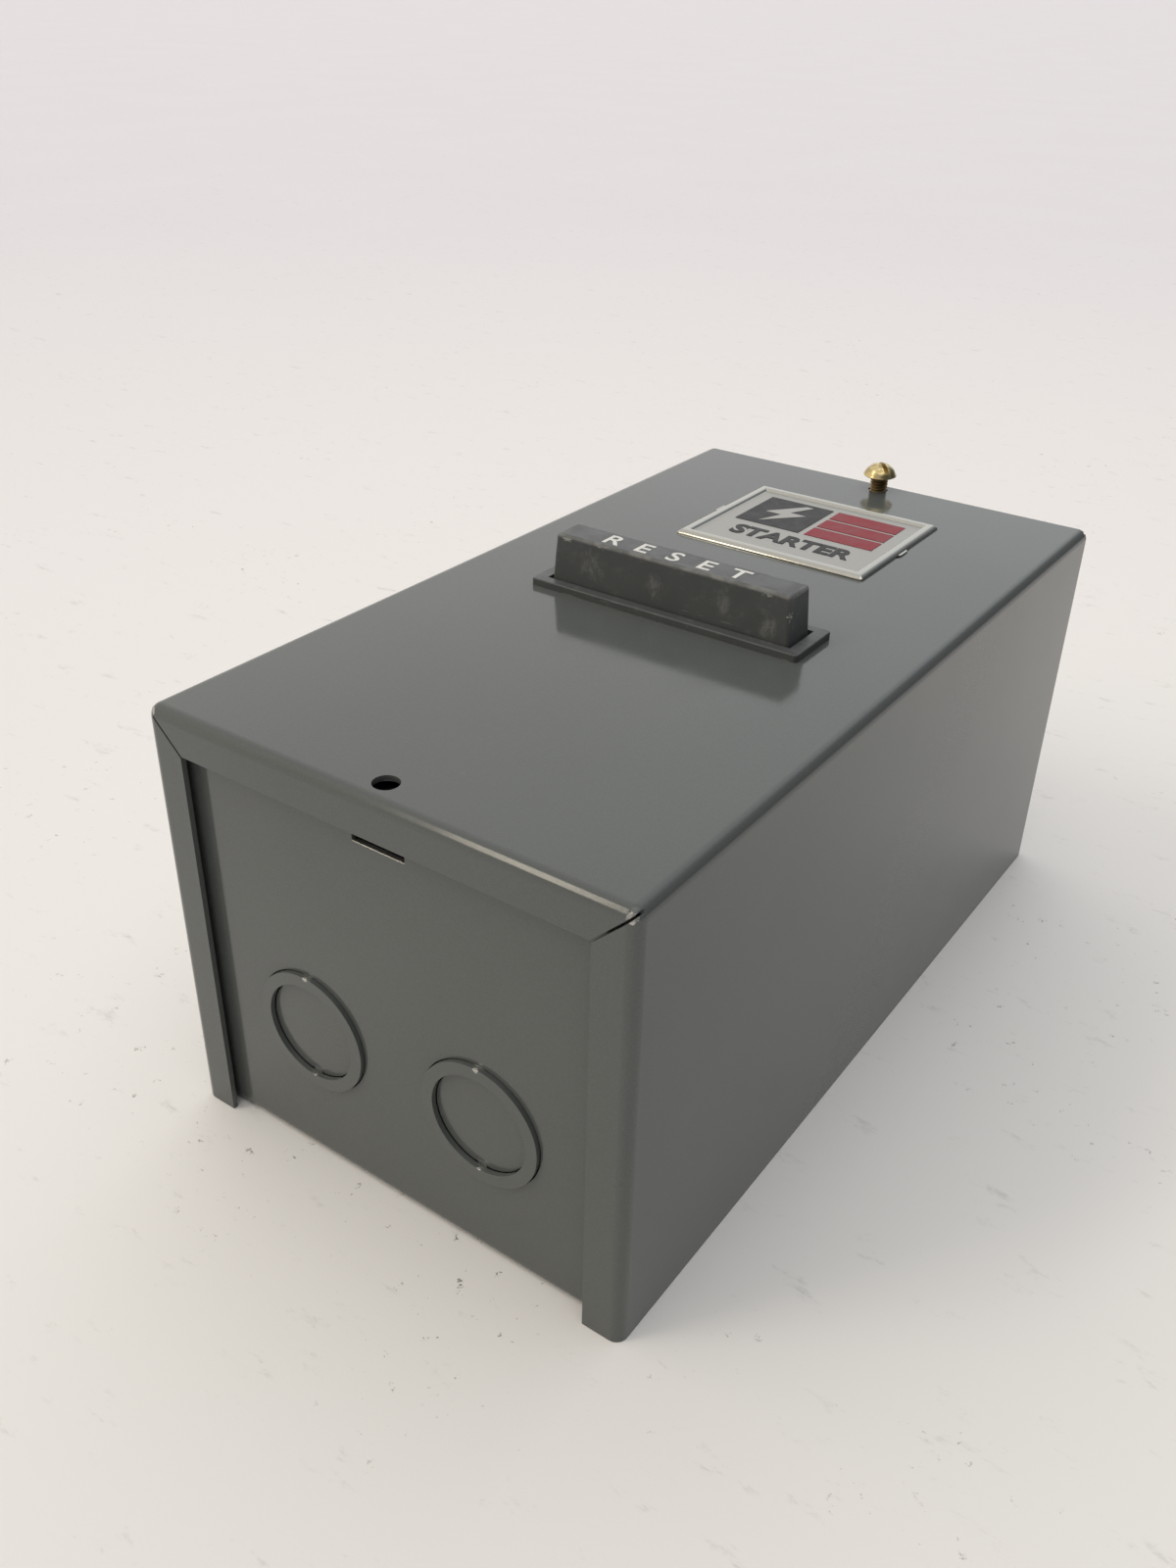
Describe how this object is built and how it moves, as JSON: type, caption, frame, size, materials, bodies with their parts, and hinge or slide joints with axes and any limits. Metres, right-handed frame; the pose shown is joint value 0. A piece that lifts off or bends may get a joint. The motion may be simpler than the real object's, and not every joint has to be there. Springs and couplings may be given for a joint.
{
  "type": "magnetic motor starter",
  "caption": "Magnetic motor starter in a grey sheet-metal enclosure, with a reset bar, a nameplate, cover screws, conduit knockouts, a contactor and an overload relay inside.",
  "frame": {"origin": "centre of the enclosure's footprint on the wall plane, which is the outer face of the back plate", "axes": "+Z out of the wall through the front of the cover; +Y towards the starter's top end, the end with the nameplate; +X across the width"},
  "size_m": [0.114, 0.21, 0.1124],
  "materials": {
    "enclosure_paint": "semi-gloss grey enamel",
    "charcoal_plastic": "moulded charcoal plastic with worn edges",
    "nameplate_metal": "satin field with a polished bevelled rim",
    "screw_brass": "dulled brass",
    "washer_fibre": "red vulcanised fibre",
    "zinc_steel": "zinc plated",
    "green_screw": "green dyed zinc plate",
    "phenolic_black": "compression-moulded black phenolic",
    "phenolic_brown": "compression-moulded brown phenolic",
    "spring_steel": "bright spring wire",
    "core_steel": "laminated electrical steel, ground pole faces",
    "copper": "bare copper",
    "contact_copper": "plated copper with silver buttons",
    "bobbin_nylon": "natural nylon",
    "coil_tape": "varnished cloth tape",
    "heater_alloy": "heat-darkened resistance alloy",
    "bimetal_strip": "rolled bimetal",
    "trip_nylon": "moulded nylon",
    "rod_red": "moulded red nylon",
    "lead_insulation": "black PVC insulation"
  },
  "bodies": {
    "base": {"base_pan": "enclosure_paint", "knockouts": "enclosure_paint", "starter_plate": "zinc_steel", "plate_screws": "zinc_steel", "starter_screws": "zinc_steel", "ground_screw": "green_screw", "contactor_base": "phenolic_black", "coil_terminals": "contact_copper", "control_screws": "screw_brass", "magnet_core": "core_steel", "shading_rings": "copper", "coil_bobbin": "bobbin_nylon", "coil_winding": "coil_tape", "return_springs": "spring_steel", "contact_block": "phenolic_black", "terminal_screws": "screw_brass", "arc_cover": "phenolic_brown", "arc_cover_screws": "zinc_steel", "relay_base": "phenolic_black", "bimetals": "bimetal_strip", "lever_pin": "zinc_steel", "control_contacts": "contact_copper", "motor_lugs": "contact_copper", "motor_lug_screws": "screw_brass", "heater_screws": "screw_brass", "reset_rod_spring": "spring_steel", "coil_leads": "lead_insulation", "line_contact_1": "contact_copper", "load_contact_1": "contact_copper", "line_contact_2": "contact_copper", "load_contact_2": "contact_copper", "line_contact_3": "contact_copper", "load_contact_3": "contact_copper", "line_contact_4": "contact_copper", "load_contact_4": "contact_copper", "relay_strap_1": "contact_copper", "heater_1": "heater_alloy", "relay_strap_2": "contact_copper", "heater_2": "heater_alloy", "relay_strap_3": "contact_copper", "heater_3": "heater_alloy"},
    "cover": {"cover": "enclosure_paint", "nameplate": "nameplate_metal", "button_bezel": "charcoal_plastic", "spring_bracket": "zinc_steel", "button_springs": "spring_steel"},
    "reset_button": {"reset_button": "charcoal_plastic"},
    "screw_washer": {"screw_retainer": "washer_fibre"},
    "cover_screw": {"cover_screw": "screw_brass"},
    "carrier": {"contact_carrier": "phenolic_brown", "armature": "core_steel", "armature_pin": "zinc_steel", "contact_springs": "spring_steel"},
    "bridges": {"moving_contact_1": "contact_copper", "moving_contact_2": "contact_copper", "moving_contact_3": "contact_copper", "moving_contact_4": "contact_copper"},
    "reset_rod": {"reset_rod": "rod_red"},
    "trip_bar": {"trip_bar": "trip_nylon"},
    "contact_lever": {"contact_lever": "contact_copper"}
  },
  "joints": [
    {"name": "cover_lift", "type": "slide", "parent": "base", "child": "cover", "axis": [0, 0, 1], "range_m": [0, 0.11]},
    {"name": "reset_press", "type": "slide", "parent": "cover", "child": "reset_button", "axis": [0, 0, -1], "range_m": [0, 0.005], "stiffness_N_per_m": 700, "springref_m": -0.004, "deforming": ["button_springs"]},
    {"name": "screw_turn", "type": "hinge", "parent": "cover", "child": "screw_washer", "pos_m": [0, 0.099, 0.0984], "axis": [0, 0, 1], "range_deg": [-1813.6, 0]},
    {"name": "screw_drive", "type": "slide", "parent": "screw_washer", "child": "cover_screw", "axis": [0, 0, 1], "range_m": [-0.004, 0]},
    {"name": "contactor_pull_in", "type": "slide", "parent": "base", "child": "carrier", "axis": [0, 0, -1], "range_m": [0, 0.0035], "stiffness_N_per_m": 1200, "springref_m": -0.005, "deforming": ["return_springs"]},
    {"name": "contact_wipe", "type": "slide", "parent": "carrier", "child": "bridges", "axis": [0, 0, 1], "range_m": [0, 0.0008], "stiffness_N_per_m": 2000, "springref_m": -0.002, "deforming": ["contact_springs"]},
    {"name": "reset_rod_push", "type": "slide", "parent": "base", "child": "reset_rod", "axis": [0, 0, -1], "range_m": [0, 0.0038], "stiffness_N_per_m": 200, "springref_m": -0.003, "deforming": ["reset_rod_spring"]},
    {"name": "trip_slide", "type": "slide", "parent": "base", "child": "trip_bar", "axis": [1, 0, 0], "range_m": [0, 0.0014], "stiffness_N_per_m": 150, "springref_m": -0.001},
    {"name": "contact_open", "type": "hinge", "parent": "base", "child": "contact_lever", "pos_m": [0.0305, -0.022, 0.026], "axis": [0, 1, 0], "range_deg": [0, 6.02]}
  ],
  "couplings": [
    {"joint": "screw_turn", "follows": "screw_drive", "rad_per_m": 7913.3},
    {"joint": "contact_wipe", "follows": "contactor_pull_in", "ratio": 0.22857},
    {"joint": "reset_rod_push", "follows": "reset_press", "ratio": 0.76},
    {"joint": "contact_open", "follows": "trip_slide", "rad_per_m": 75}
  ]
}
